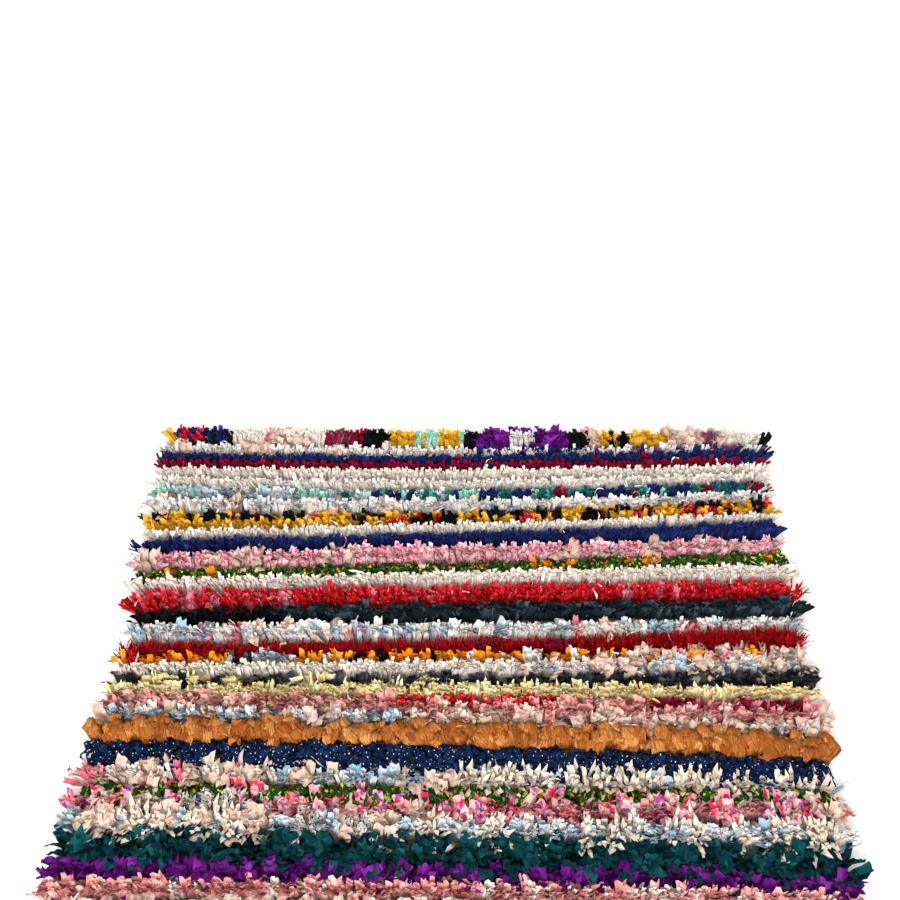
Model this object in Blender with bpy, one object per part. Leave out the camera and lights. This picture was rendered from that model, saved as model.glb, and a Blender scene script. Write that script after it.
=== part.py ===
"""A boucherouite rug: a flat hand-knotted rag rug, lying full length on the floor.

Metres, +Z up. The underside lies at z = 0, +Y runs along the rug's length to its far end and +X is to
the right. The rug is one piece of cloth, so it is one closed solid: a flat underside, an uneven outline
and a top that rises and falls with the rows of pile.
"""
import math

import bpy
import bmesh
from mathutils import Vector

LENGTH = 2.00            # along Y, from pile tip to pile tip
WIDTH = 1.32             # across X at the widest tufts
PILE_TOP = 0.038         # tips of the tallest row above the floor
PILE_DIP = 0.009         # how far the top falls between two rows
EDGE_HEIGHT = 0.013      # side tufts splay out and lie this low
SHOULDER = 0.022         # from the outline in to where the pile stands at its full height
ROW_PITCH = 0.0333       # from one row of knots to the next
COLUMNS = 12             # strips of the top across the width
ROW_JAG = 0.005          # how far one row's end tufts reach past its neighbours'
TIP_JAG = 0.002          # how much the tip height changes along a row
FABRIC_COLOUR = (0.62, 0.42, 0.38, 1.0)
FABRIC_ROUGHNESS = 0.95

# The long edges bow in and out, and the rows were beaten down at a slight slope that grows and
# fades along the length.
#   along: place on the length, -1 near end to +1 far end
#   left, right: reach of the edges from the middle line, metres
#   slope: rise of a row in Y for each metre in X
EDGE_COLUMNS = ("along", "left", "right", "slope")
EDGE_SECTIONS = (
    (-1.00, 0.640, 0.640, 0.000),
    (-0.62, 0.648, 0.652, 0.006),
    (-0.25, 0.652, 0.645, 0.002),
    (0.00, 0.655, 0.648, 0.002),
    (0.20, 0.652, 0.646, -0.004),
    (0.30, 0.641, 0.648, 0.000),
    (0.42, 0.630, 0.644, 0.034),
    (0.52, 0.625, 0.648, 0.044),
    (0.65, 0.642, 0.642, 0.060),
    (0.80, 0.646, 0.630, 0.050),
    (0.91, 0.655, 0.648, 0.034),
    (1.00, 0.646, 0.650, 0.016),
)


def section_at(along):
    """The outline's reach and the rows' slope at a place on the length."""
    rows = [dict(zip(EDGE_COLUMNS, row)) for row in EDGE_SECTIONS]
    for low, high in zip(rows, rows[1:]):
        if along <= high["along"]:
            break
    t = (along - low["along"]) / (high["along"] - low["along"])
    t = min(max(t, 0.0), 1.0)
    return {name: low[name] + (high[name] - low[name]) * t for name in EDGE_COLUMNS}


def jag(row, side):
    """An uneven value from -1 to 1 for one end of one row."""
    return math.sin(2.4 * row + 1.7 * side) * math.cos(0.83 * row - side)


def top_point(column, line, lines):
    """The top of the pile where a column crosses a line; odd lines are crests, even lines dips."""
    along = 2.0 * line / lines - 1.0
    section = section_at(along)
    row = line // 2
    left = -section["left"] - ROW_JAG * jag(row, 1)
    right = section["right"] + ROW_JAG * jag(row, 2)
    inner_left, inner_right = left + SHOULDER, right - SHOULDER
    if column == 0:
        x = left
    elif column == COLUMNS:
        x = right
    else:
        x = inner_left + (inner_right - inner_left) * (column - 1) / (COLUMNS - 2)
    y = 0.5 * LENGTH * along + section["slope"] * x
    on_outline = column in (0, COLUMNS) or line in (0, lines)
    if on_outline:
        z = EDGE_HEIGHT
    else:
        crest = line % 2 == 1
        z = PILE_TOP - (0.0 if crest else PILE_DIP)
        z -= TIP_JAG * (0.5 + 0.5 * math.sin(1.9 * column + 2.3 * row))
    return Vector((x, y, z))


def pile_top():
    """The rug's top: a flat grid, shaped to the outline and to the rows of pile."""
    rows = round(LENGTH / ROW_PITCH)
    lines = 2 * rows
    bm = bmesh.new()
    bmesh.ops.create_grid(bm, x_segments=COLUMNS, y_segments=lines, size=1.0)
    for vert in bm.verts:
        column = round((vert.co.x + 1.0) / 2.0 * COLUMNS)
        line = round((vert.co.y + 1.0) / 2.0 * lines)
        vert.co = top_point(column, line, lines)
    return bm


def close_below(bm):
    """Takes the top's outline down to the floor and closes it with one flat underside."""
    outline = [edge for edge in bm.edges if edge.is_boundary]
    made = bmesh.ops.extrude_edge_only(bm, edges=outline)["geom"]
    for vert in made:
        if isinstance(vert, bmesh.types.BMVert):
            vert.co.z = 0.0
    rim = [edge for edge in bm.edges if edge.is_boundary]
    bmesh.ops.edgeloop_fill(bm, edges=rim)
    bmesh.ops.recalc_face_normals(bm, faces=bm.faces)


def fit_to_size(bm):
    """Brings the outline to the rug's stated size, centred on the origin."""
    lows = [min(vert.co[axis] for vert in bm.verts) for axis in range(2)]
    highs = [max(vert.co[axis] for vert in bm.verts) for axis in range(2)]
    for vert in bm.verts:
        for axis, size in enumerate((WIDTH, LENGTH)):
            middle = 0.5 * (lows[axis] + highs[axis])
            vert.co[axis] = (vert.co[axis] - middle) * size / (highs[axis] - lows[axis])


def rag_cloth():
    """Knotted cotton rags of mixed colours."""
    material = bpy.data.materials.new("rag_pile")
    material.use_nodes = True
    shader = material.node_tree.nodes["Principled BSDF"]
    shader.inputs["Base Color"].default_value = FABRIC_COLOUR
    shader.inputs["Roughness"].default_value = FABRIC_ROUGHNESS
    shader.inputs["Metallic"].default_value = 0.0
    return material


def make_rug(collection):
    bm = pile_top()
    close_below(bm)
    fit_to_size(bm)
    mesh = bpy.data.meshes.new("rug")
    bm.to_mesh(mesh)
    bm.free()
    mesh.materials.append(rag_cloth())
    rug = bpy.data.objects.new("rug", mesh)
    collection.objects.link(rug)


def main():
    for old in list(bpy.data.objects):
        bpy.data.objects.remove(old, do_unlink=True)
    collection = bpy.data.collections.new("boucherouite_rug")
    bpy.context.scene.collection.children.link(collection)
    make_rug(collection)


main()
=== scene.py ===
import math

import bpy
import numpy as np
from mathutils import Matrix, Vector


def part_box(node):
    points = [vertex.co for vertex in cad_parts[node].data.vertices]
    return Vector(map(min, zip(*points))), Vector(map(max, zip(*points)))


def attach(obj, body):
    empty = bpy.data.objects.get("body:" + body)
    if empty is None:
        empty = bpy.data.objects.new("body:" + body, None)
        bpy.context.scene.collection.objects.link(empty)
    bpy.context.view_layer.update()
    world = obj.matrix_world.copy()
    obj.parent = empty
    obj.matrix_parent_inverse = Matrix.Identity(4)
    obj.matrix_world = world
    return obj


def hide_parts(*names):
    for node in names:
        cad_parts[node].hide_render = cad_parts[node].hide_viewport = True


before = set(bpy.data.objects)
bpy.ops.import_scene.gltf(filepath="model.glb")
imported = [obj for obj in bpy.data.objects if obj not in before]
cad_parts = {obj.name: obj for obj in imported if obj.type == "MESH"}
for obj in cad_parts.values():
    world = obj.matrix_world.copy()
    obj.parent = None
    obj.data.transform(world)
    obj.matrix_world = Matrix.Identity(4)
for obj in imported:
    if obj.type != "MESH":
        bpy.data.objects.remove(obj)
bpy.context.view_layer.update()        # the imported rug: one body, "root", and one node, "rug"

rugLow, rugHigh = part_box("rug")
halfLength = (rugHigh[1] - rugLow[1]) / 2
rng = np.random.default_rng(20)      # every uneven value below comes from here, in the same order each run


def linear(hexText):
    parts = [int(hexText[i:i + 2], 16) / 255 for i in (1, 3, 5)]
    return [c / 12.92 if c <= 0.04045 else ((c + 0.055) / 1.055) ** 2.4 for c in parts] + [1.0]


def addNode(tree, kind, settings=None, inputs=None):
    node = tree.nodes.new(kind)
    for name, value in (settings or {}).items():
        setattr(node, name, value)
    for name, value in (inputs or {}).items():
        if isinstance(value, bpy.types.NodeSocket):
            tree.links.new(value, node.inputs[name])
        else:
            node.inputs[name].default_value = value
    return node


def fillRamp(ramp, stops):
    # stops are (place, sRGB hex); the ramp starts with two elements
    while len(ramp.elements) < len(stops):
        ramp.elements.new(0.5)
    for element, (place, tone) in zip(ramp.elements, stops):
        element.position = place
        element.color = linear(tone)


# Camera, floor and light.

view = {
    "height": 1.752,             # eye above the floor
    "behindFarEnd": 1.686,       # level distance from the far end of the rug
    "toTheRight": 0.0127,
    "pitch": 47.0,               # degrees below level
    "turnLeft": 1.53,            # degrees
    "lens": 44.87,               # mm, on a 36 mm sensor
}
light = {
    "world": "#ffffff", "worldStrength": 0.96,
    "keyPlace": (-1.8, -5.0, 4.3), "keySize": 3.2, "keyPower": 575.0,
    "fillPlace": (0.2, -1.7, 3.9), "fillSize": 2.2, "fillPower": 40.0,
    "floor": "#f4f3f1", "floorSize": 14.0, "floorDrop": 0.0003,     # the floor lies a hair below the rug
}

cameraData = bpy.data.cameras.new("camera")
cameraData.lens = view["lens"]
cameraData.sensor_width = 36.0
cameraData.clip_end = 100.0
camera = bpy.data.objects.new("camera", cameraData)
bpy.context.scene.collection.objects.link(camera)
camera.location = (view["toTheRight"], halfLength - view["behindFarEnd"], view["height"])
camera.rotation_euler = (math.radians(90.0 - view["pitch"]), 0.0, math.radians(view["turnLeft"]))
bpy.context.scene.camera = camera
bpy.context.scene.view_settings.view_transform = "Standard"


def addAreaLight(name, place, size, power):
    lamp = bpy.data.lights.new(name, "AREA")
    lamp.shape = "DISK"
    lamp.size = size
    lamp.energy = power
    lampObject = bpy.data.objects.new(name, lamp)
    bpy.context.scene.collection.objects.link(lampObject)
    lampObject.location = place
    lampObject.rotation_euler = (-Vector(place)).to_track_quat("-Z", "Y").to_euler()    # to the rug's middle


# a large key from behind the camera, a small fill over the near end and an even white room
addAreaLight("keyLight", light["keyPlace"], light["keySize"], light["keyPower"])
addAreaLight("fillLight", light["fillPlace"], light["fillSize"], light["fillPower"])
world = bpy.data.worlds.new("softbox")
world.use_nodes = True
world.node_tree.nodes["Background"].inputs["Color"].default_value = linear(light["world"])
world.node_tree.nodes["Background"].inputs["Strength"].default_value = light["worldStrength"]
bpy.context.scene.world = world

bpy.ops.object.select_all(action="DESELECT")
bpy.ops.mesh.primitive_plane_add(size=light["floorSize"], location=(0.0, 0.0, -light["floorDrop"]))
floor = bpy.context.object
floor.name = "floor"
paintedFloor = bpy.data.materials.new("matt_painted_floor")     # pale, no shine: only soft shadows show on it
paintedFloor.use_nodes = True
paintedFloor.node_tree.nodes["Principled BSDF"].inputs["Base Color"].default_value = linear(light["floor"])
paintedFloor.node_tree.nodes["Principled BSDF"].inputs["Roughness"].default_value = 0.9
floor.data.materials.append(paintedFloor)
print("camera, floor and light are set")


# Each cut is modelled standing at the origin in metres, its lower edge in the knot. "rows" and
# "columns" are its faces up and across; "pleat" pushes every other fold back; "gather" is how narrow
# the knot pulls it; "tip" is the width left at the top, "slant" how far off square it is cut and
# "ragged" how uneven; "curl" is how far it turns over, in degrees, from "curlFrom" of its height up;
# "crumple" is how far its points are pushed about, and "kinds" how many different ends are modelled.
cuts = {
    "finger": {"width": 0.0054, "height": 0.039, "columns": 2, "rows": 2, "pleat": 0.0013, "gather": 0.80,
               "tip": 1.0, "slant": 0.22, "ragged": 0.0008, "curl": 12, "curlFrom": 0.3, "crumple": 0.0004,
               "kinds": 8},
    "panel": {"width": 0.0190, "height": 0.038, "columns": 5, "rows": 4, "pleat": 0.0024, "gather": 0.70,
              "tip": 1.0, "slant": 0.10, "ragged": 0.0012, "curl": 12, "curlFrom": 0.3, "crumple": 0.0006,
              "kinds": 6},
    "scrap": {"width": 0.0155, "height": 0.040, "columns": 3, "rows": 4, "pleat": 0.0030, "gather": 0.50,
              "tip": 0.95, "slant": 0.40, "ragged": 0.0014, "curl": 36, "curlFrom": 0.3, "crumple": 0.0007,
              "kinds": 8},
    "fan": {"width": 0.0260, "height": 0.040, "columns": 5, "rows": 4, "pleat": 0.0034, "gather": 0.35,
            "tip": 0.95, "slant": 0.35, "ragged": 0.0018, "curl": 50, "curlFrom": 0.35, "crumple": 0.0008,
            "kinds": 7},
    "flap": {"width": 0.0170, "height": 0.043, "columns": 3, "rows": 5, "pleat": 0.0030, "gather": 0.45,
             "tip": 0.95, "slant": 0.40, "ragged": 0.0018, "curl": 72, "curlFrom": 0.4, "crumple": 0.0008,
             "kinds": 8},
    "curl": {"width": 0.0080, "height": 0.040, "columns": 2, "rows": 6, "pleat": 0.0030, "gather": 0.60,
             "tip": 0.90, "slant": 0.2, "ragged": 0.0012, "curl": 140, "curlFrom": 0.4, "crumple": 0.0014,
             "kinds": 5},
    "puff": {"width": 0.0230, "height": 0.056, "columns": 6, "rows": 7, "pleat": 0.0030, "gather": 0.55,
             "tip": 0.90, "slant": 0.2, "ragged": 0.0012, "curl": 165, "curlFrom": 0.45, "crumple": 0.0014,
             "kinds": 7},
    "ribbon": {"width": 0.0085, "height": 0.039, "columns": 2, "rows": 4, "pleat": 0.0018, "gather": 0.60,
               "tip": 0.95, "slant": 0.25, "ragged": 0.0014, "curl": 24, "curlFrom": 0.3, "crumple": 0.0008,
               "kinds": 6},
    "shred": {"width": 0.0045, "height": 0.040, "columns": 1, "rows": 5, "pleat": 0.0, "gather": 0.75,
              "tip": 0.80, "slant": 0.5, "ragged": 0.0016, "curl": 40, "curlFrom": 0.2, "crumple": 0.0014,
              "kinds": 6},
    "yarn": {"width": 0.0030, "height": 0.038, "columns": 1, "rows": 4, "pleat": 0.0, "gather": 0.9,
             "tip": 0.5, "slant": 0.2, "ragged": 0.0012, "curl": 35, "curlFrom": 0.2, "crumple": 0.0012,
             "kinds": 6},
    "thread": {"width": 0.0015, "height": 0.056, "columns": 1, "rows": 8, "pleat": 0.0, "gather": 0.9,
               "tip": 0.6, "slant": 0.2, "ragged": 0.0012, "curl": 90, "curlFrom": 0.3, "crumple": 0.0016,
               "kinds": 6},
}
openedBy = 0.45          # a gathered end has opened to its full width this far up
taperFrom = 0.5          # and narrows to its tip from here
# A pillow is a wad of soft jersey pushed up into a rounded block, "blunt" telling block from ball.
pillow = {"width": 0.0230, "depth": 0.0200, "height": 0.038, "cuts": 2, "blunt": 0.60, "crumple": 0.0028,
          "kinds": 8}


def selectPoints(strip, wanted):
    # selects the points whose number wanted() says yes to; strip is in edit mode before and after
    bpy.ops.object.mode_set(mode="OBJECT")
    mesh = strip.data
    for edge in mesh.edges:
        edge.select = False
    for face in mesh.polygons:
        face.select = False
    for index, vert in enumerate(mesh.vertices):
        vert.select = bool(wanted(index))
    bpy.ops.object.mode_set(mode="EDIT")


def modelStrip(name, cut, seed):
    # one end of a knotted rag: a grid stood upright, gathered, pleated, cut unevenly and curled over
    uneven = np.random.default_rng(seed)
    columns, rows, width, height = cut["columns"], cut["rows"], cut["width"], cut["height"]
    bpy.ops.object.select_all(action="DESELECT")
    bpy.ops.mesh.primitive_grid_add(x_subdivisions=columns, y_subdivisions=rows, size=1.0,
                                    rotation=(math.pi / 2, 0.0, 0.0))
    strip = bpy.context.object
    strip.name = name
    strip.scale = (width, height, 1.0)
    bpy.ops.object.transform_apply(location=False, rotation=True, scale=True)
    flat = np.array([[v.co.x, v.co.z + height / 2] for v in strip.data.vertices])
    column = np.rint((flat[:, 0] / width + 0.5) * columns).astype(int)
    row = np.rint(flat[:, 1] / height * rows).astype(int)
    bpy.ops.object.mode_set(mode="EDIT")
    bpy.ops.mesh.select_mode(type="VERT")
    bpy.ops.mesh.select_all(action="SELECT")
    bpy.ops.transform.translate(value=(0.0, 0.0, height / 2))
    if cut["pleat"]:
        selectPoints(strip, lambda i: column[i] % 2 == 1)
        bpy.ops.transform.translate(value=(0.0, cut["pleat"] * uneven.uniform(0.7, 1.2), 0.0))
    for level in range(rows + 1):
        up = level / rows
        share = cut["gather"] + (1.0 - cut["gather"]) * min(1.0, up / openedBy)
        if up > taperFrom:
            share *= 1.0 + (cut["tip"] - 1.0) * ((up - taperFrom) / (1.0 - taperFrom)) ** 1.5
        selectPoints(strip, lambda i: row[i] == level)
        bpy.ops.transform.resize(value=(share, 0.6 + 0.4 * share, 1.0), center_override=(0.0, 0.0, 0.0))
    slant = cut["slant"] * uneven.uniform(-1.3, 1.3)
    for place in range(columns + 1):
        selectPoints(strip, lambda i: row[i] == rows and column[i] == place)
        cutOff = slant * (place / columns - 0.5) * width + uneven.normal(0.0, cut["ragged"])
        bpy.ops.transform.translate(value=(0.0, 0.0, cutOff))
    turned = [level for level in range(rows) if level / rows >= cut["curlFrom"]]
    way = uneven.uniform(0.6, 1.25) * uneven.choice([-1.0, -1.0, 1.0])      # two in three curl to one side
    total = math.radians(cut["curl"]) * way
    mesh = strip.data
    for level in turned:
        selectPoints(strip, lambda i: row[i] > level)
        bpy.ops.object.mode_set(mode="OBJECT")
        line = [mesh.vertices[i].co for i in range(len(row)) if row[i] == level]
        pivot = sum(line, Vector()) / len(line)
        bpy.ops.object.mode_set(mode="EDIT")
        bpy.ops.transform.rotate(value=total / len(turned), orient_axis="X", center_override=pivot)
    bpy.ops.mesh.select_all(action="SELECT")
    bpy.ops.transform.vertex_random(offset=cut["crumple"], uniform=0.6, seed=int(seed % 997))
    bpy.ops.object.mode_set(mode="OBJECT")
    points = np.array([v.co[:] for v in mesh.vertices])
    points[:, 2] -= points[row == 0, 2].mean()
    faces = np.array([face.vertices[:] for face in mesh.polygons])
    bpy.data.objects.remove(strip, do_unlink=True)
    return {"points": points, "flat": flat, "faces": faces, "height": height}


def modelPillow(name, cut, seed):
    # a wad of jersey: a box made round, turned about its height and dented
    uneven = np.random.default_rng(seed)
    bpy.ops.object.select_all(action="DESELECT")
    bpy.ops.mesh.primitive_cube_add(size=1.0)
    block = bpy.context.object
    block.name = name
    bpy.ops.object.mode_set(mode="EDIT")
    bpy.ops.mesh.select_mode(type="VERT")
    bpy.ops.mesh.select_all(action="SELECT")
    bpy.ops.mesh.subdivide(number_cuts=cut["cuts"])
    bpy.ops.transform.tosphere(value=1.0 - cut["blunt"])
    bpy.ops.transform.rotate(value=uneven.uniform(0.0, 1.5), orient_axis="Z", center_override=(0.0, 0.0, 0.0))
    bpy.ops.transform.translate(value=(0.0, 0.0, 0.5))
    bpy.ops.transform.resize(value=(cut["width"], cut["depth"], cut["height"]),
                             center_override=(0.0, 0.0, 0.0))
    bpy.ops.transform.vertex_random(offset=cut["crumple"], uniform=0.3, normal=0.6, seed=int(seed % 997))
    bpy.ops.object.mode_set(mode="OBJECT")
    mesh = block.data
    points = np.array([v.co[:] for v in mesh.vertices])
    # the jersey's pattern is laid on from the front, aslant, so that it doesn't smear over the sides
    flat = np.stack([points[:, 0] + 0.4 * points[:, 1], points[:, 2] + 0.4 * points[:, 1]], -1)
    faces = np.array([face.vertices[:] for face in mesh.polygons])
    bpy.data.objects.remove(block, do_unlink=True)
    return {"points": points, "flat": flat, "faces": faces, "height": cut["height"]}


strips = {}
for cutName, cut in cuts.items():
    strips[cutName] = [modelStrip(f"{cutName}_{k}", cut, 100 * len(strips) + k) for k in range(cut["kinds"])]
strips["pillow"] = [modelPillow(f"pillow_{k}", pillow, 900 + k) for k in range(pillow["kinds"])]
print("rag ends modelled:", {name: len(kinds) for name, kinds in strips.items()})


# The cloths that the rags are cut from; each makes one piece of the rug. "tones" are the cloth's own
# colours and "print" what is printed on it, in "inks", "motif" mm across, over "inkShare" of it. "cut"
# is the shape from above and "also" a second shape with its share; "wide" and "tall" make them wider or
# longer. "gap" is the space between knots in mm, "ends" how many rag ends stand in a knot, "turn" and
# "lean" how unruly they stand, in degrees, "spread" the share of the line's depth that their roots
# take, "fanned" the degrees between a knot's front ends and its back ends, "filling" the share of short
# ends that lie back over the gap behind the line, "crease" how deeply creased, "paintedCreaseShade" how
# dark the shade painted into the bottoms of the creases is, "frayed" how many loose threads stand out of
# a stripe of it, and "soft" cloth has no sharp folds.
clothSize = 300.0        # mm of cloth that the rags of a kind are cut from, the whole of its UV square
cloths = {
    "creamCotton": {"tones": ["#ece6dd", "#e7ded3", "#e0d4c6"], "cut": "finger", "also": ("ribbon", 0.15),
                    "crease": 1.0, "frayed": 22},
    "whiteCotton": {"tones": ["#ece8e3", "#e3e0dd", "#e9e0d6"], "print": "speckle",
                    "inks": ["#cbd6de", "#dcbfb8"], "motif": 6.0, "inkShare": 0.06, "cut": "finger",
                    "also": ("scrap", 0.25), "crease": 0.7, "frayed": 18},
    "rawCotton": {"tones": ["#d5c9b8", "#cabaa7", "#dbd1c3"], "cut": "shred", "wide": 1.5, "tall": 1.15,
                  "lean": 15, "crease": 0.8, "frayed": 10},
    "navyJersey": {"tones": ["#1f2c68", "#16214f", "#2b3b80"], "cut": "finger", "wide": 1.1},
    "crimsonJersey": {"tones": ["#8c122c", "#700c22", "#a21a38"], "cut": "finger", "wide": 1.1},
    "brightRed": {"tones": ["#d2141f", "#b00d16", "#e22e38"], "print": "speckle",
                  "inks": ["#8a180e", "#f08a92"], "motif": 6.0, "inkShare": 0.12, "cut": "shred",
                  "also": ("ribbon", 0.35), "frayed": 3},
    "rosePink": {"tones": ["#e5838f", "#d2607a", "#eda9ae"], "cut": "scrap", "wide": 0.7, "crease": 0.7},
    "darkRedYarn": {"tones": ["#a3080e", "#83050a", "#b80f19"], "cut": "yarn"},
    "black": {"tones": ["#141517", "#0c0c0e", "#1e1f22"], "cut": "ribbon"},
    "charcoal": {"tones": ["#26333a", "#11171a", "#485a66"], "cut": "panel", "crease": 1.6},
    "slate": {"tones": ["#36373e", "#232429", "#505159"], "cut": "scrap"},
    "goldenYellow": {"tones": ["#dea31c", "#e8b433", "#c48a14"], "cut": "ribbon", "wide": 1.2},
    "paleYellow": {"tones": ["#e9d8a6", "#dfc580", "#f1e7c9"], "print": "speckle",
                   "inks": ["#a5d69c", "#88c9a0"], "motif": 14.0, "inkShare": 0.08, "cut": "panel",
                   "also": ("shred", 0.45), "tall": 1.06, "gap": 8.0, "ends": 4.0, "crease": 1.6,
                   "frayed": 20},
    "orange": {"tones": ["#f29a18", "#ea870d", "#f7b238"], "cut": "ribbon", "wide": 1.1},
    # the ochre jersey's creases get the deepest painted shade
    "ochreJersey": {"tones": ["#c47536", "#96511f", "#da9450"], "cut": "puff", "tall": 0.92,
                    "also": ("pillow", 0.50), "gap": 12.0, "crease": 3.4, "paintedCreaseShade": 0.45},
    "pinkFloral": {"tones": ["#e8acb2", "#ebcdcc", "#dc8a98"], "print": "floral",
                   "inks": ["#d95078", "#e27a88", "#ecdcda", "#c48aac", "#d4385e"], "motif": 10.0,
                   "inkShare": 0.42, "cut": "ribbon", "also": ("scrap", 0.3), "crease": 0.6},
    "coralFloral": {"tones": ["#d18b91", "#d4aaa8", "#c3667a"], "print": "floral",
                    "inks": ["#d22848", "#de4e46", "#9a4a98", "#d0b8b8", "#c8245c"], "motif": 16.0,
                    "inkShare": 0.54, "cut": "flap", "also": ("scrap", 0.35), "crease": 0.9},
    "dustyPink": {"tones": ["#e5a99f", "#d28983", "#eac5bd"], "print": "speckle",
                  "inks": ["#cd4f5c", "#dc7a80"], "motif": 9.0, "inkShare": 0.16, "cut": "ribbon",
                  "wide": 1.2, "also": ("scrap", 0.45), "crease": 1.1},
    "blush": {"tones": ["#d0beab", "#c5a796", "#d6c7b8"], "print": "speckle", "inks": ["#cf8f90", "#dfa794"],
              "motif": 16.0, "inkShare": 0.12, "cut": "flap", "also": ("fan", 0.30), "crease": 1.1},
    "paleBlue": {"tones": ["#cbcdc9", "#8fb2c8", "#d3d0ca", "#aec2ce"], "print": "speckle",
                 "inks": ["#98b6cc", "#d9dde0"], "motif": 7.0, "inkShare": 0.08, "cut": "ribbon",
                 "wide": 1.2, "also": ("scrap", 0.35), "crease": 1.0},
    "aquaMint": {"tones": ["#a5d6c6", "#8bcab8", "#bfe3d8"], "cut": "finger"},
    "leafGreen": {"tones": ["#1f4a1a", "#153411", "#2f6225"], "print": "floral",
                  "inks": ["#86a827", "#bccb38", "#cf7219", "#15330c"], "motif": 13.0, "inkShare": 0.20,
                  "cut": "curl", "tall": 1.10},
    "dottedNavy": {"tones": ["#0f2146", "#091835", "#162f57"], "print": "dots", "inks": ["#dfe2e2"],
                   "motif": 11.5, "cut": "curl"},
    "teal": {"tones": ["#093b42", "#04272c", "#105254"], "cut": "flap", "wide": 1.1, "also": ("scrap", 0.40),
             "crease": 0.8},
    "seaTeal": {"tones": ["#1f7c80", "#145258", "#44a598"], "cut": "ribbon"},
    "purple": {"tones": ["#69147d", "#4b0b5a", "#84299a"], "cut": "flap", "wide": 1.2,
               "also": ("scrap", 0.50), "crease": 0.7},
    "mauve": {"tones": ["#8a4f6c", "#6a314d", "#a9758c"], "cut": "finger"},
    "navySpeckle": {"tones": ["#cdc4b4", "#c0b6a5"], "print": "speckle", "inks": ["#1e2e5a", "#152347"],
                    "motif": 4.4, "inkShare": 0.36, "cut": "flap", "crease": 0.9},
}
# what holds for a cloth that says nothing else, and then for each cut
usual = {"print": None, "inks": [], "motif": 8.0, "inkShare": 0.3, "also": (None, 0.0), "wide": 1.0,
         "tall": 1.0, "gap": 5.0, "ends": 5.1, "turn": 13, "lean": 3, "spread": 0.16, "fanned": 7.0,
         "crease": 1.0, "paintedCreaseShade": 0.86, "filling": 0.26, "frayed": 4, "soft": False}
cutUsual = {
    "panel": {"gap": 14.0, "ends": 3.0, "turn": 12, "lean": 3},
    "scrap": {"gap": 10.0, "ends": 3.9, "turn": 38, "lean": 11, "spread": 0.45, "fanned": 22.0,
              "filling": 0.15},
    "flap": {"gap": 11.0, "ends": 3.6, "turn": 36, "lean": 13, "spread": 0.60, "fanned": 18.0,
             "filling": 0.1},
    "curl": {"gap": 8.0, "ends": 5.3, "turn": 50, "lean": 14, "spread": 0.50, "fanned": 22.0,
             "filling": 0.1, "soft": True},
    "puff": {"gap": 10.5, "ends": 2.5, "turn": 26, "lean": 7, "spread": 0.34, "fanned": 12.0,
             "filling": 0.0, "soft": True},
    "ribbon": {"gap": 7.2, "ends": 3.9, "turn": 22, "lean": 5, "spread": 0.22, "fanned": 9.0},
    "shred": {"gap": 4.5, "ends": 5.6, "turn": 34, "lean": 9, "spread": 0.40, "fanned": 18.0},
    "yarn": {"gap": 4.0, "ends": 9.0, "turn": 50, "lean": 13, "spread": 0.45, "fanned": 20.0},
}
for name, cloth in cloths.items():
    cloths[name] = {**usual, **cutUsual.get(cloth["cut"], {}), **cloth}


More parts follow.
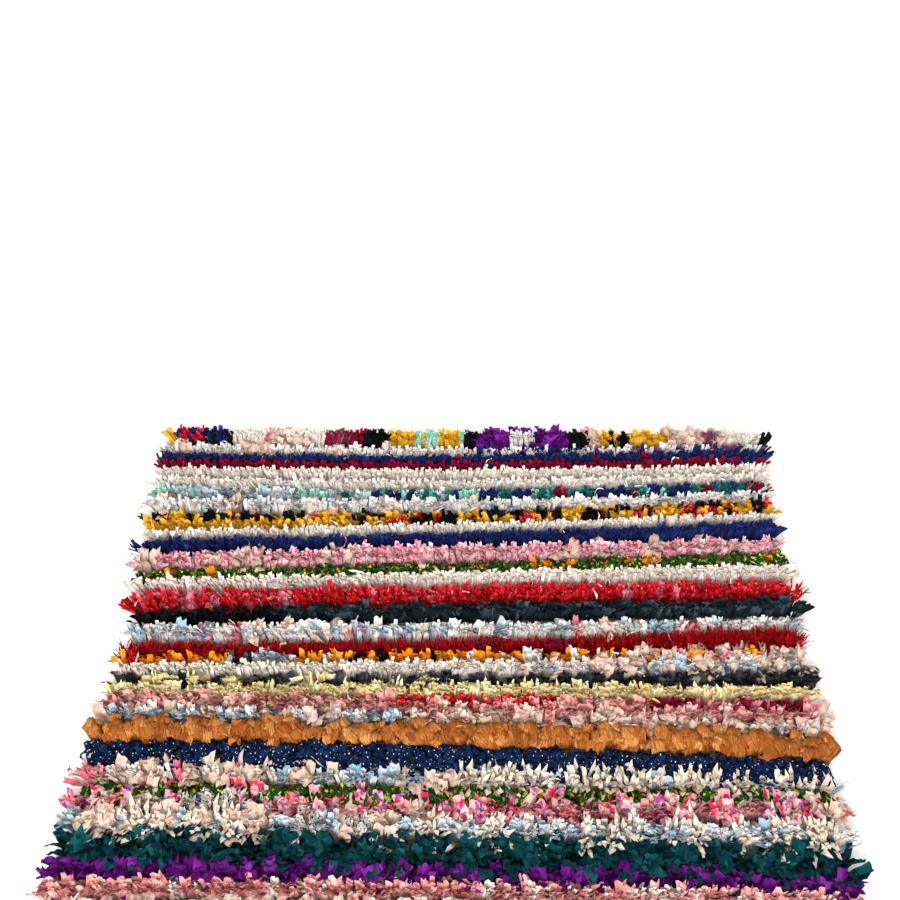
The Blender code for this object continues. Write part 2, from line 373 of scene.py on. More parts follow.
# The stripes from the far end. "deep" is how deep a stripe is at the left, the middle and the right,
# in mm. "runs" go from left to right: each holds the cloths up to a place across the rug, in metres
# from the middle line. "clump" is the chance that a knot is of the same cloth as the knot before it.
farEdge = (0.962, 0.970, 0.983)      # where the first stripe starts: at the left, the middle and the right
edge = 1.0                           # past the rug's side, so a run that ends here goes all the way
stripes = [
    {"deep": (40, 47, 36), "clump": 0.0, "runs": [
        (-0.61, {"creamCotton": 3, "goldenYellow": 1}), (-0.545, {"brightRed": 5, "navyJersey": 2}),
        (-0.49, {"navyJersey": 2, "black": 1}), (-0.42, {"creamCotton": 3, "whiteCotton": 1}),
        (-0.38, {"pinkFloral": 1, "blush": 3}), (-0.30, {"blush": 1, "creamCotton": 4}),
        (-0.22, {"crimsonJersey": 3, "mauve": 2}), (-0.165, {"black": 1}),
        (-0.12, {"goldenYellow": 1}), (-0.06, {"aquaMint": 3, "goldenYellow": 1}),
        (0.0, {"goldenYellow": 3, "aquaMint": 1}), (0.03, {"black": 1}), (0.09, {"purple": 1}),
        (0.155, {"whiteCotton": 3, "purple": 1}), (0.215, {"purple": 1}), (0.26, {"black": 1}),
        (0.29, {"blush": 2, "goldenYellow": 1}), (0.33, {"goldenYellow": 3, "black": 1}),
        (0.375, {"black": 1, "goldenYellow": 1}), (0.43, {"goldenYellow": 1}),
        (0.50, {"blush": 1}), (0.55, {"mauve": 1, "blush": 1}), (0.615, {"creamCotton": 1}),
        (edge, {"black": 1})]},
    {"deep": (27, 22, 14), "clump": 0.4, "runs": [
        (0.02, {"whiteCotton": 9, "blush": 1}), (0.25, {"navyJersey": 3, "whiteCotton": 3}),
        (edge, {"whiteCotton": 4, "navyJersey": 2, "mauve": 1})]},
    {"deep": (26, 22, 22), "clump": 0.6, "runs": [(edge, {"navyJersey": 12, "crimsonJersey": 1})]},
    {"deep": (10, 13, 17), "clump": 0.6, "runs": [(edge, {"crimsonJersey": 12, "navyJersey": 1})]},
    {"deep": (29, 29, 23), "clump": 0.0, "runs": [(edge, {"creamCotton": 1})]},
    {"deep": (28, 29, 23), "clump": 0.0, "runs": [(edge, {"creamCotton": 12, "whiteCotton": 1})]},
    {"deep": (31, 27, 26), "clump": 0.5, "runs": [
        (-0.35, {"paleBlue": 4, "aquaMint": 2, "whiteCotton": 2, "navySpeckle": 1}),
        (-0.19, {"paleBlue": 2, "aquaMint": 3, "seaTeal": 1, "whiteCotton": 1}),
        (edge, {"navyJersey": 8, "seaTeal": 10, "aquaMint": 2, "crimsonJersey": 1, "paleBlue": 1})]},
    {"deep": (38, 34, 27), "clump": 0.0, "runs": [(edge, {"whiteCotton": 16, "paleBlue": 2, "blush": 1})]},
    {"deep": (19, 10, 13), "clump": 0.5, "runs": [
        (-0.3, {"black": 6, "goldenYellow": 3, "crimsonJersey": 1}),
        (edge, {"black": 6, "goldenYellow": 3, "brightRed": 1})]},
    {"deep": (25, 16, 20), "clump": 0.4, "runs": [
        (-0.2, {"goldenYellow": 1}), (edge, {"goldenYellow": 8, "black": 3, "brightRed": 2})]},
    {"deep": (26, 25, 24), "clump": 0.0, "runs": [(edge, {"creamCotton": 1})]},
    {"deep": (34, 32, 38), "clump": 0.0, "runs": [(edge, {"navyJersey": 1})]},
    {"deep": (37, 36, 30), "clump": 0.2, "runs": [(edge, {"pinkFloral": 9, "blush": 1})]},
    {"deep": (24, 27, 31), "clump": 0.3, "runs": [(edge, {"leafGreen": 14, "orange": 1})]},
    {"deep": (36, 37, 50), "clump": 0.0, "runs": [(edge, {"creamCotton": 1})]},
    {"deep": (38, 34, 33), "clump": 0.3, "runs": [
        (-0.25, {"brightRed": 12, "rosePink": 4}), (edge, {"brightRed": 12, "rosePink": 1})]},
    {"deep": (26, 46, 42), "clump": 0.3, "runs": [(-0.34, {"black": 1}), (edge, {"charcoal": 1})]},
    {"deep": (41, 36, 26), "clump": 0.2, "runs": [
        (edge, {"whiteCotton": 11, "paleBlue": 8, "creamCotton": 6, "blush": 1, "rosePink": 2})]},
    {"deep": (28, 26, 43), "clump": 0.5, "runs": [
        (0.02, {"darkRedYarn": 1}), (0.2, {"crimsonJersey": 2, "darkRedYarn": 3}),
        (edge, {"darkRedYarn": 1})]},
    {"deep": (15, 17, 23), "clump": 0.4, "runs": [
        (-0.42, {"orange": 4, "brightRed": 1}), (-0.3, {"slate": 1, "paleBlue": 1}),
        (-0.2, {"orange": 3, "creamCotton": 1}), (0.0, {"orange": 5, "black": 1}),
        (0.3, {"orange": 3, "black": 1, "whiteCotton": 2}),
        (edge, {"blush": 3, "orange": 1, "pinkFloral": 1})]},
    {"deep": (29, 34, 23), "clump": 0.1, "runs": [
        (0.1, {"creamCotton": 1}), (edge, {"blush": 2, "whiteCotton": 3, "paleBlue": 2})]},
    {"deep": (15, 14, 33), "clump": 0.5, "runs": [
        (0.0, {"slate": 3, "paleYellow": 1}), (0.45, {"slate": 1}),
        (edge, {"slate": 5, "rosePink": 1, "whiteCotton": 1})]},
    {"deep": (24, 32, 33), "clump": 0.4, "runs": [(edge, {"paleYellow": 1})]},
    {"deep": (1, 4, 8), "clump": 0.7, "runs": [
        (-0.11, {"dustyPink": 1}), (0.17, {"brightRed": 1}), (0.33, {"dustyPink": 1}),
        (edge, {"crimsonJersey": 3, "rosePink": 1})]},
    {"deep": (16, 22, 26), "clump": 0.0, "runs": [(edge, {"dustyPink": 7, "blush": 1})]},
    {"deep": (27, 22, 26), "clump": 0.3, "runs": [
        (-0.1, {"whiteCotton": 2, "paleBlue": 3, "blush": 1}),
        (edge, {"dustyPink": 1, "blush": 3, "whiteCotton": 1})]},
    {"deep": (37, 33, 44), "clump": 0.0, "runs": [(edge, {"ochreJersey": 1})]},
    {"deep": (46, 52, 42), "clump": 0.0, "runs": [(edge, {"dottedNavy": 1})]},
    {"deep": (37, 26, 13), "clump": 0.3, "runs": [
        (-0.3, {"blush": 6, "creamCotton": 3, "rosePink": 1}),
        (0.0, {"paleBlue": 3, "creamCotton": 2, "blush": 2}),
        (edge, {"rawCotton": 5, "creamCotton": 1, "paleBlue": 1})]},
    {"deep": (13, 25, 19), "clump": 0.4, "runs": [
        (-0.3, {"leafGreen": 5, "coralFloral": 1}),
        (edge, {"leafGreen": 18, "coralFloral": 1, "orange": 1})]},
    {"deep": (28, 32, 38), "clump": 0.3, "runs": [
        (-0.5, {"coralFloral": 2, "blush": 1}),
        (-0.3, {"navySpeckle": 10, "coralFloral": 1, "navyJersey": 2}),
        (edge, {"coralFloral": 7, "dustyPink": 2, "blush": 1})]},
    {"deep": (43, 39, 50), "clump": 0.3, "runs": [
        (-0.35, {"rawCotton": 3, "blush": 4, "paleBlue": 1}),
        (-0.1, {"blush": 5, "navySpeckle": 2, "paleBlue": 3}),
        (edge, {"paleBlue": 4, "rawCotton": 3, "whiteCotton": 2})]},
    {"deep": (40, 43, 38), "clump": 0.0, "runs": [(edge, {"teal": 1})]},
    {"deep": (31, 19, 22), "clump": 0.0, "runs": [(edge, {"purple": 1})]},
    {"deep": (40, 34, 39), "clump": 0.2, "runs": [(edge, {"dustyPink": 8, "creamCotton": 1})]},
    {"deep": (28, 32, 30), "clump": 0.2, "runs": [(edge, {"creamCotton": 3, "blush": 2})]},
]
# The near end repeats the same cloths in plain stripes: a cloth and a depth in mm, before they are fitted in.
nearStripes = [
    ("whiteCotton", 30), ("navyJersey", 28), ("pinkFloral", 36), ("creamCotton", 34), ("leafGreen", 24),
    ("dustyPink", 34), ("black", 24), ("goldenYellow", 28), ("creamCotton", 36), ("darkRedYarn", 34),
    ("paleBlue", 34), ("charcoal", 30), ("ochreJersey", 44), ("creamCotton", 30), ("dottedNavy", 40),
    ("coralFloral", 38), ("whiteCotton", 30), ("teal", 38), ("brightRed", 36), ("creamCotton", 34),
    ("slate", 26), ("blush", 34), ("purple", 28), ("paleYellow", 28), ("navyJersey", 30), ("creamCotton", 36),
    ("crimsonJersey", 28), ("paleBlue", 30), ("dustyPink", 32),
]
nearMargin = 14.0        # mm from the last stripe to the near end
room = [1000.0 * (start + halfLength) - sum(stripe["deep"][k] for stripe in stripes) - nearMargin
        for k, start in enumerate(farEdge)]          # mm left for them at the left, the middle and the right
wanted = sum(deep for clothName, deep in nearStripes)
for clothName, deep in nearStripes:
    stripes.append({"deep": tuple(deep * part / wanted for part in room), "clump": 0.0,
                    "runs": [(edge, {clothName: 1})]})


# The long edges bow in and out: "along" is the place on the length in metres from the middle,
# "left" and "right" how far the tufts reach from the middle line.
outline = [
    {"along": -1.00, "left": 0.640, "right": 0.640}, {"along": -0.62, "left": 0.648, "right": 0.652},
    {"along": -0.25, "left": 0.652, "right": 0.645}, {"along": 0.00, "left": 0.642, "right": 0.634},
    {"along": 0.08, "left": 0.645, "right": 0.640}, {"along": 0.16, "left": 0.636, "right": 0.642},
    {"along": 0.22, "left": 0.648, "right": 0.642}, {"along": 0.30, "left": 0.638, "right": 0.646},
    {"along": 0.42, "left": 0.630, "right": 0.636}, {"along": 0.52, "left": 0.625, "right": 0.650},
    {"along": 0.65, "left": 0.642, "right": 0.644}, {"along": 0.80, "left": 0.646, "right": 0.632},
    {"along": 0.91, "left": 0.660, "right": 0.650}, {"along": 0.98, "left": 0.636, "right": 0.656},
]


def reach(side, along):
    return float(np.interp(along, [o["along"] for o in outline], [o[side] for o in outline]))


knotting = {
    "lineDepth": 0.031,      # one line of knots to the next
    "fullDepth": 0.030,      # the depth of line that a cloth's "ends" are counted for
    "fewest": 0.55,          # the share of those ends that the shallowest line still gets
    "tallDepth": 0.033,      # rags are longer in a line deeper than this, and shorter in a shallower one
    "rootHeight": 0.0030,    # the rags come out of the ground weave here
    "sideLean": 9.0,         # degrees that the pile drifts sideways, back and forth along a stripe
    "backward": 5.0,         # degrees that the whole pile lies away from the near end
    "lowLean": (26.0, 42.0), # degrees that a short filling end lies back
    "lowWide": 1.3,          # and how much wider and how much shorter it is than the others
    "lowTall": 0.72,
    "splay": 0.024,          # the end tufts reach this far past the last knot
    "sideBand": 0.022,       # knots nearer than this to a side lean out over it
    "outward": 42.0,         # degrees, at the side itself
    "farOutward": 8.0,       # degrees that the first line leans over the far end
    "nearOutward": 20.0,     # and the last line over the near end
    "threadRise": 0.014,     # loose threads start this high in the pile
    "wrinkle": 0.0007,       # how far the points of each rag end are pushed about
    "tallest": 0.0455,       # nothing stands higher
    "flattened": 0.006,      # what would come this close to it bends over instead
    "lowest": 0.0012,        # no rag goes under the weave
}


def boundaryAt(places, x):
    # a stripe's far or near side: a curve through its places at the left, the middle and the right
    left, middle, right = places
    t = x / 0.6                      # those at the left and the right are 0.6 m from the middle line
    return middle + 0.5 * (right - left) * t + 0.5 * (right + left - 2.0 * middle) * t * t


def commonest(run):
    return max(run, key=run.get)


planted = {name: [] for name in cloths}      # a cut, one of its kinds and a row of numbers for each rag end
plantedColumns = ("x", "y", "rise", "yaw", "lean", "side", "wide", "tall", "bendX", "bendY", "cup", "u", "v")


def plantEnd(clothName, cutName, place, angles, size, bend, onCloth):
    planted[clothName].append((cutName, int(rng.integers(len(strips[cutName]))),
                               (*place, *angles, *size, rng.normal(0.0, bend), rng.normal(0.0, bend),
                                rng.normal(0.0, 0.0014), *onCloth)))


def plantKnot(clothName, x, y, outward, drift, depth):
    cloth = cloths[clothName]
    second, share = cloth["also"]
    cutName = second if rng.uniform() < share else cloth["cut"]
    uCentre, vCentre = rng.uniform(0.12, 0.88, 2)
    knotTurn = rng.normal(0.0, 0.5 * cloth["turn"])
    deeper = float(np.clip(depth / knotting["tallDepth"], 0.90, 1.12))
    knotTall = cloth["tall"] * rng.normal(deeper, 0.03)
    ends = cloth["ends"] * max(depth / knotting["fullDepth"], knotting["fewest"])
    ends = int(ends) + int(rng.uniform() < ends % 1.0)      # 3.9 ends are 4 in nine knots out of ten
    for end in range(ends):
        back = (end + 0.5) / ends - 0.5          # from the front of the line to its back
        low = rng.uniform() < cloth["filling"]   # a short end that lies back over the gap behind its line
        lean = rng.normal(0.0, cloth["lean"]) + knotting["backward"] + outward[1] * rng.uniform(0.5, 1.1)
        lean += rng.uniform(*knotting["lowLean"]) if low else cloth["fanned"] * back
        side = rng.normal(0.0, 0.8 * cloth["lean"]) + drift + outward[0] * rng.uniform(0.55, 1.1)
        place = (x + rng.uniform(-0.5, 0.5) * cloth["gap"] / 1000.0,
                 y + back * cloth["spread"] * depth + rng.normal(0.0, 0.0015), 0.0)
        size = (cloth["wide"] * rng.uniform(0.8, 1.2) * (knotting["lowWide"] if low else 1.0),
                knotTall * rng.normal(1.0, 0.05) * (knotting["lowTall"] if low else 1.0))
        # the ends of a knot are cut from one spot of the cloth, so they have nearly one tone
        onCloth = (np.clip(uCentre + rng.normal(0.0, 0.03), 0.08, 0.92),
                   np.clip(vCentre + rng.normal(0.0, 0.03), 0.02, 0.80))
        turn = knotTurn + rng.normal(0.0, 0.6 * cloth["turn"])
        plantEnd(clothName, cutName, place, (turn, lean, side), size, 0.08, onCloth)


farSide = list(farEdge)
for index, stripe in enumerate(stripes):
    nearSide = [start - depth / 1000.0 for start, depth in zip(farSide, stripe["deep"])]
    meanDepth = sum(stripe["deep"]) / 3000.0
    lines = max(1, round(meanDepth / knotting["lineDepth"]))
    along = 0.5 * (farSide[1] + nearSide[1])
    wave, phase = rng.uniform(2.0, 5.0), rng.uniform(0.0, 6.3)
    endLeft = -reach("left", along) + knotting["splay"] + rng.uniform(-0.006, 0.004)
    endRight = reach("right", along) - knotting["splay"] + rng.uniform(-0.004, 0.006)
    for line in range(lines):
        part = (line + 0.5) / lines
        x = endLeft + rng.uniform(0.0, 0.008)
        clothName = None
        while x < endRight:
            far, near = boundaryAt(farSide, x), boundaryAt(nearSide, x)
            run = next(mix for until, mix in stripe["runs"] if x < until)
            if clothName not in run or rng.uniform() > stripe["clump"]:
                names = list(run)
                weights = np.array([run[n] for n in names], float)
                clothName = names[rng.choice(len(names), p=weights / weights.sum())]
            y = far + (near - far) * part
            atRight = max(0.0, 1.0 - (endRight - x) / knotting["sideBand"])
            atLeft = max(0.0, 1.0 - (x - endLeft) / knotting["sideBand"])
            outX = knotting["outward"] * (atRight - atLeft)
            outY = 0.0
            if index == 0 and line == 0:
                outY = knotting["farOutward"]
            if index == len(stripes) - 1 and line == lines - 1:
                outY = -knotting["nearOutward"]
            drift = knotting["sideLean"] * math.sin(wave * x * 2.0 + phase)
            plantKnot(clothName, x, y, (outX, outY), drift, (far - near) / lines)
            x += cloths[clothName]["gap"] / 1000.0 * rng.uniform(0.85, 1.15)
    # loose threads stand out anywhere in the stripe
    for x in rng.uniform(endLeft, endRight, cloths[commonest(stripe["runs"][-1][1])]["frayed"]):
        far, near = boundaryAt(farSide, x), boundaryAt(nearSide, x)
        run = next(mix for until, mix in stripe["runs"] if x < until)
        plantEnd(commonest(run), "thread", (x, rng.uniform(near, far), knotting["threadRise"]),
                 (rng.uniform(-90.0, 90.0), rng.normal(10.0, 30.0), rng.normal(0.0, 35.0)),
                 (rng.uniform(0.5, 1.4), rng.uniform(0.45, 0.95)), 0.3, rng.uniform(0.1, 0.8, 2))
    farSide = nearSide
print("knots tied in", len(stripes), "stripes, near side at", round(farSide[1], 3))


patterns = {
    "garment": 26.0,         # mm across one patch of tone
    "cloud": 15.0,           # mm across a faded cloud
    "thread": 1.496,         # mm from thread to thread, three times too coarse, so that they show
    "creaseAcross": 2.5,     # mm from crease to crease
    "creaseAlong": 22.0,     # mm that a crease runs up the rag
    "creaseDepth": 0.0013,   # m
    "inkPatch": 18.0,        # mm of a speckled cloth that has one ink
    "dot": 2.0,              # mm across a pin dot
}


def clothMaterial(name, cloth):
    # cotton rag, woven or knitted and washed soft: matt all over, with only a dull sheen along its
    # creases, painted shade darkening their bottoms, and a tone that differs from one rag to the next
    material = bpy.data.materials.new(name + "_cotton_rag")
    material.use_nodes = True
    tree = material.node_tree
    shader = tree.nodes["Principled BSDF"]
    place = addNode(tree, "ShaderNodeUVMap", {"uv_map": "OFBake"})
    inMm = addNode(tree, "ShaderNodeMapping", inputs={
        "Vector": place.outputs["UV"], "Scale": (clothSize, clothSize, 1.0)}).outputs["Vector"]
    # rags of one colour come from several garments, a little apart in tone
    garment = addNode(tree, "ShaderNodeTexVoronoi", {"voronoi_dimensions": "2D"},
                      {"Vector": inMm, "Scale": 1 / patterns["garment"]})
    garmentTone = addNode(tree, "ShaderNodeSeparateColor", inputs={"Color": garment.outputs["Color"]})
    tones = addNode(tree, "ShaderNodeValToRGB", inputs={"Fac": garmentTone.outputs["Red"]})
    count = len(cloth["tones"])
    fillRamp(tones.color_ramp, [(k / (count - 1), tone) for k, tone in enumerate(cloth["tones"])])
    colour = tones.outputs["Color"]
    if cloth["print"] == "floral":
        colour = floralPrint(tree, inMm, colour, cloth)
    if cloth["print"] == "speckle":
        colour = specklePrint(tree, inMm, colour, cloth)
    if cloth["print"] == "dots":
        colour = dotPrint(tree, inMm, colour, cloth)
    # fading and grime in soft clouds
    cloud = addNode(tree, "ShaderNodeTexNoise", {"noise_dimensions": "2D"},
                    {"Vector": inMm, "Scale": 1 / patterns["cloud"], "Detail": 3.0})
    fade = addNode(tree, "ShaderNodeMapRange", inputs={
        "Value": cloud.outputs["Fac"], "From Min": 0.3, "From Max": 0.7, "To Min": 0.91, "To Max": 1.05})
    faded = addNode(tree, "ShaderNodeMix", {"data_type": "RGBA", "blend_type": "MULTIPLY"},
                    {0: 1.0, 6: colour, 7: fade.outputs["Result"]})
    # a wave of scale 1 repeats every pi / 10
    threads = {"Vector": inMm, "Scale": math.pi / 10.0 / patterns["thread"]}
    over = addNode(tree, "ShaderNodeTexWave", {"bands_direction": "X"}, threads)
    under = addNode(tree, "ShaderNodeTexWave", {"bands_direction": "Y"}, threads)
    weave = addNode(tree, "ShaderNodeMath", {"operation": "ADD"},
                    {0: over.outputs["Fac"], 1: under.outputs["Fac"]})
    # creases run up the rag
    crease = addNode(tree, "ShaderNodeMapping", inputs={
        "Vector": inMm, "Scale": (1 / patterns["creaseAcross"], 1 / patterns["creaseAlong"], 1.0)})
    creases = addNode(tree, "ShaderNodeTexNoise", {"noise_dimensions": "2D"},
                      {"Vector": crease.outputs["Vector"], "Scale": 1.0, "Detail": 3.0, "Distortion": 0.6})
    # painted shade: the colour is darker in the bottoms of the creases, for the shadow in the pleats
    paintedCreaseShade = addNode(tree, "ShaderNodeMapRange", inputs={
        "Value": creases.outputs["Fac"], "From Min": 0.34, "From Max": 0.44, "To Min": cloth["paintedCreaseShade"],
        "To Max": 1.0})
    withCreaseShade = addNode(tree, "ShaderNodeMix", {"data_type": "RGBA", "blend_type": "MULTIPLY"},
                      {0: 1.0, 6: faded.outputs[2], 7: paintedCreaseShade.outputs["Result"]})
    tree.links.new(withCreaseShade.outputs[2], shader.inputs["Base Color"])
    fine = addNode(tree, "ShaderNodeBump", inputs={
        "Height": weave.outputs["Value"], "Strength": 0.35, "Distance": 0.0003})
    bump = addNode(tree, "ShaderNodeBump", inputs={
        "Height": creases.outputs["Fac"], "Strength": 1.0,
        "Distance": patterns["creaseDepth"] * cloth["crease"], "Normal": fine.outputs["Normal"]})
    tree.links.new(bump.outputs["Normal"], shader.inputs["Normal"])
    rough = addNode(tree, "ShaderNodeMapRange", inputs={
        "Value": creases.outputs["Fac"], "From Min": 0.3, "From Max": 0.7, "To Min": 0.82, "To Max": 0.96})
    tree.links.new(rough.outputs["Result"], shader.inputs["Roughness"])
    shader.inputs["Specular IOR Level"].default_value = 0.06
    return material


def floralPrint(tree, inMm, ground, cloth):
    # blooms: warped cells in several inks, with bare ground between them
    warp = addNode(tree, "ShaderNodeTexNoise", {"noise_dimensions": "2D"},
                   {"Vector": inMm, "Scale": 1.6 / cloth["motif"], "Detail": 2.0})
    shifted = addNode(tree, "ShaderNodeVectorMath", {"operation": "MULTIPLY_ADD"}, {
        0: warp.outputs["Color"], 1: (cloth["motif"] * 0.9,) * 3, 2: inMm})
    bloom = addNode(tree, "ShaderNodeTexVoronoi", {"voronoi_dimensions": "2D"},
                    {"Vector": shifted.outputs["Vector"], "Scale": 1 / cloth["motif"]})
    bloomTone = addNode(tree, "ShaderNodeSeparateColor", inputs={"Color": bloom.outputs["Color"]})
    inks = addNode(tree, "ShaderNodeValToRGB", inputs={"Fac": bloomTone.outputs["Green"]})
    inks.color_ramp.interpolation = "CONSTANT"
    fillRamp(inks.color_ramp, [(k / len(cloth["inks"]), ink) for k, ink in enumerate(cloth["inks"])])
    petals = addNode(tree, "ShaderNodeMath", {"operation": "LESS_THAN"}, {
        0: bloom.outputs["Distance"], 1: math.sqrt(cloth["inkShare"] / math.pi)})
    return addNode(tree, "ShaderNodeMix", {"data_type": "RGBA"}, {
        0: petals.outputs["Value"], 6: ground, 7: inks.outputs["Color"]}).outputs[2]


def specklePrint(tree, inMm, ground, cloth):
    # small uneven marks, dense or sparse as inkShare says
    marks = addNode(tree, "ShaderNodeTexNoise", {"noise_dimensions": "2D"},
                    {"Vector": inMm, "Scale": 1 / cloth["motif"], "Detail": 2.5, "Roughness": 0.6})
    chosen = addNode(tree, "ShaderNodeMapRange", inputs={
        "Value": marks.outputs["Fac"], "From Min": 0.66 - 0.32 * cloth["inkShare"],
        "From Max": 0.69 - 0.32 * cloth["inkShare"]})
    ink = addNode(tree, "ShaderNodeTexVoronoi", {"voronoi_dimensions": "2D"},
                  {"Vector": inMm, "Scale": 1 / patterns["inkPatch"]})
    inkTone = addNode(tree, "ShaderNodeSeparateColor", inputs={"Color": ink.outputs["Color"]})
    inks = addNode(tree, "ShaderNodeValToRGB", inputs={"Fac": inkTone.outputs["Blue"]})
    inks.color_ramp.interpolation = "CONSTANT"
    fillRamp(inks.color_ramp, [(k / len(cloth["inks"]), tone) for k, tone in enumerate(cloth["inks"])])
    return addNode(tree, "ShaderNodeMix", {"data_type": "RGBA"}, {
        0: chosen.outputs["Result"], 6: ground, 7: inks.outputs["Color"]}).outputs[2]


def dotPrint(tree, inMm, ground, cloth):
    # pin dots, "motif" apart
    dots = addNode(tree, "ShaderNodeTexVoronoi", {"voronoi_dimensions": "2D"},
                   {"Vector": inMm, "Scale": 1 / cloth["motif"], "Randomness": 0.7})
    inside = addNode(tree, "ShaderNodeMath", {"operation": "LESS_THAN"}, {
        0: dots.outputs["Distance"], 1: patterns["dot"] / 2.0 / cloth["motif"]})
    return addNode(tree, "ShaderNodeMix", {"data_type": "RGBA"}, {
        0: inside.outputs["Value"], 6: ground, 7: linear(cloth["inks"][0])}).outputs[2]


def turnMatrices(yaw, lean, side):
    # stands the rag end: first turned about its own height, then leaned along Y and to the side
    cy, sy = np.cos(yaw), np.sin(yaw)
    cl, sl = np.cos(lean), np.sin(lean)
    cs, ss = np.cos(side), np.sin(side)
    zero, one = np.zeros_like(yaw), np.ones_like(yaw)
    about = np.stack([cy, -sy, zero, sy, cy, zero, zero, zero, one], -1).reshape(-1, 3, 3)
    back = np.stack([one, zero, zero, zero, cl, sl, zero, -sl, cl], -1).reshape(-1, 3, 3)
    across = np.stack([cs, zero, ss, zero, one, zero, -ss, zero, cs], -1).reshape(-1, 3, 3)
    return across @ back @ about


def growPile(clothName):
    # copies the modelled ends to their places, all the ends of one shape at once, into one mesh
    cloth = cloths[clothName]
    groups = {}
    for cutName, kind, row in planted[clothName]:
        groups.setdefault((cutName, kind), []).append(row)
    points, uvs, faces, start = [], [], [], 0
    for (cutName, kind), rows in groups.items():
        shape, count = strips[cutName][kind], len(rows)
        t = dict(zip(plantedColumns, np.array(rows, float).T))
        height = shape["height"]
        local = shape["points"][None, :, :] * np.stack([t["wide"], t["wide"], t["tall"]], -1)[:, None, :]
        up = np.clip(shape["points"][:, 2] / height, 0.0, 1.0)
        local = local + rng.normal(0.0, knotting["wrinkle"], local.shape) * up[None, :, None]
        local[:, :, 1] += t["cup"][:, None] * (shape["points"][None, :, 0] / 0.01) ** 2
        local[:, :, 0] += t["bendX"][:, None] * up ** 2 * height
        local[:, :, 1] += t["bendY"][:, None] * up ** 2 * height
        turned = turnMatrices(np.radians(t["yaw"]), np.radians(t["lean"]), np.radians(t["side"]))
        placed = np.einsum("nij,nvj->nvi", turned, local)
        placed[:, :, 0] += t["x"][:, None]
        placed[:, :, 1] += t["y"][:, None]
        placed[:, :, 2] += knotting["rootHeight"] + t["rise"][:, None]
        heights = placed[:, :, 2]
        top, soft = knotting["tallest"], knotting["flattened"]
        high = heights > top - soft
        heights[high] = top - soft + soft * np.tanh((heights[high] - top + soft) / soft)
        placed[:, :, 2] = np.maximum(heights, knotting["lowest"])
        perMetre = 1000.0 / clothSize
        pleated = 1.3        # a pleated end takes more cloth than its width shows
        uv = np.stack([t["u"][:, None] + shape["flat"][None, :, 0] * t["wide"][:, None] * perMetre * pleated,
                       t["v"][:, None] + shape["flat"][None, :, 1] * t["tall"][:, None] * perMetre], -1)
        firsts = start + np.arange(count) * len(shape["points"])
        corners = shape["faces"][None, :, :] + firsts[:, None, None]
        points.append(placed.reshape(-1, 3))
        uvs.append(uv.reshape(-1, 2))
        faces.append(corners.reshape(-1, 4))
        start += count * len(shape["points"])
    points, uvs, faces = np.concatenate(points), np.concatenate(uvs), np.concatenate(faces)
    mesh = bpy.data.meshes.new(clothName + "_pile")
    mesh.vertices.add(len(points))
    mesh.vertices.foreach_set("co", points.astype(np.float32).ravel())
    mesh.loops.add(faces.size)
    mesh.loops.foreach_set("vertex_index", faces.ravel())
    mesh.polygons.add(len(faces))
    mesh.polygons.foreach_set("loop_start", np.arange(0, faces.size, 4))
    mesh.polygons.foreach_set("use_smooth", np.full(len(faces), cloth["soft"]))
    mesh.update(calc_edges=True)
    layer = mesh.uv_layers.new(name="OFBake")
    layer.data.foreach_set("uv", np.clip(uvs[faces.ravel()], 0.001, 0.999).astype(np.float32).ravel())
    pile = bpy.data.objects.new(clothName + "_pile", mesh)
    bpy.context.scene.collection.objects.link(pile)
    mesh.materials.append(clothMaterial(clothName, cloth))
    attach(pile, "root")
    return pile, 2 * len(faces)


piles, total = [], 0
for clothName in cloths:
    if planted[clothName]:
        pile, triangles = growPile(clothName)
        piles.append(pile)
        total += triangles
        print("pile of", clothName, len(planted[clothName]), "rag ends,", triangles, "triangles")
print("pile triangles in all:", total)


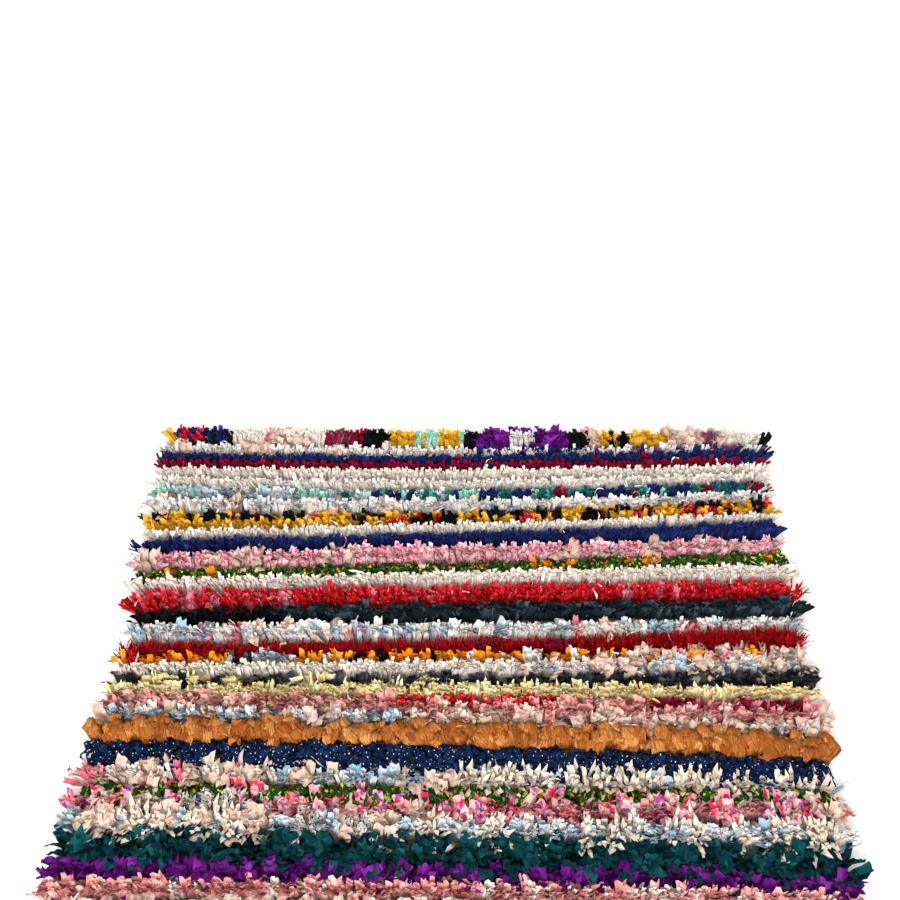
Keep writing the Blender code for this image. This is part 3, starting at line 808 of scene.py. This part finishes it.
# The ground weave that the rags are knotted into.

ground = {
    "thick": 0.0026,
    "inset": 0.024,                      # the weave ends this far inside the longest tufts of each side
    "farEnd": 0.956, "nearEnd": -0.974,
    "rib": 0.005236,                     # one weft rib to the next
    "wool": "#8a7b68", "weft": "#55493d",
}

bpy.ops.object.select_all(action="DESELECT")
bpy.ops.mesh.primitive_grid_add(x_subdivisions=24, y_subdivisions=80, size=2.0)
weaveObject = bpy.context.object
weaveObject.name = "ground_weave"
for vert in weaveObject.data.vertices:
    across, along = vert.co.x, vert.co.y
    side = "left" if across < 0 else "right"
    y = ground["nearEnd"] + (ground["farEnd"] - ground["nearEnd"]) * (along + 1.0) / 2.0
    vert.co = (across * (reach(side, y) - ground["inset"]), y, 0.0002)
weaveObject.data.uv_layers[0].name = "OFBake"
thicken = weaveObject.modifiers.new("thickness", "SOLIDIFY")
thicken.thickness = ground["thick"]
thicken.offset = 1.0
bpy.ops.object.modifier_apply(modifier="thickness")
# wool, hand-spun and hand-woven: dull and dry, in ribs that run across the rug and catch the light
woolGround = bpy.data.materials.new("wool_ground_weave")
woolGround.use_nodes = True
tree = woolGround.node_tree
where = addNode(tree, "ShaderNodeTexCoord")
ribs = addNode(tree, "ShaderNodeTexWave", {"bands_direction": "Y"}, {
    "Vector": where.outputs["Object"], "Scale": math.pi / 10.0 / ground["rib"], "Distortion": 1.0})
tone = addNode(tree, "ShaderNodeMix", {"data_type": "RGBA"}, {
    0: ribs.outputs["Fac"], 6: linear(ground["weft"]), 7: linear(ground["wool"])})
woolShader = tree.nodes["Principled BSDF"]
tree.links.new(tone.outputs[2], woolShader.inputs["Base Color"])
ribBump = addNode(tree, "ShaderNodeBump", inputs={
    "Height": ribs.outputs["Fac"], "Strength": 0.8, "Distance": 0.001})
tree.links.new(ribBump.outputs["Normal"], woolShader.inputs["Normal"])
woolShader.inputs["Roughness"].default_value = 0.95
weaveObject.data.materials.append(woolGround)
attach(weaveObject, "root")
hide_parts("rug")
print("ground weave laid")
